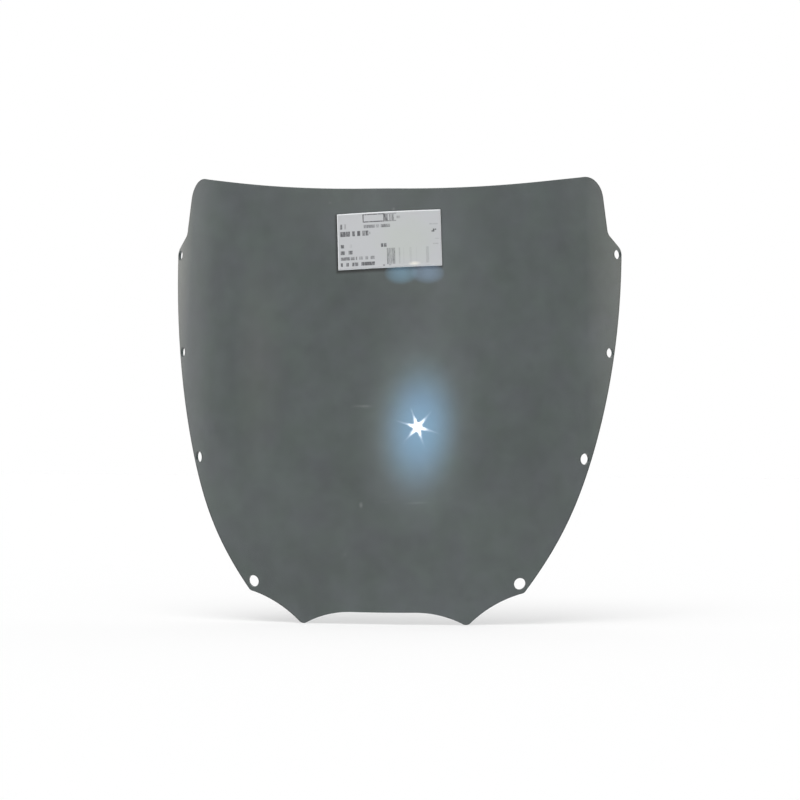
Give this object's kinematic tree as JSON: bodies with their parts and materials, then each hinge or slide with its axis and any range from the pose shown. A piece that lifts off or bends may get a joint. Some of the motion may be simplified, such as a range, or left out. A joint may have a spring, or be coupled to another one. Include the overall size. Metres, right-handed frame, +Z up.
{
  "type": "motorcycle windshield screen",
  "caption": "Tall smoked clear screen for a motorcycle fairing, bent back down both sides, with drilled fixing holes along the flanks and a paper label.",
  "frame": {"origin": "middle of the bounding box in X and Y, at the level of the two tail tips, the lowest points of the sheet", "axes": "+Z up as the screen stands on the motorcycle with its rake taken out, -Y forwards, out of the bulging outer face, and X across, the middle line of the sheet lying in X = 0"},
  "size_m": [0.463, 0.1168, 0.4533],
  "materials": {
    "smoked_acrylic": "polished, see-through, smoked green-grey",
    "label_paper": "matte white paper"
  },
  "bodies": {
    "root": {"screen": "smoked_acrylic", "label": "label_paper"}
  },
  "joints": []
}
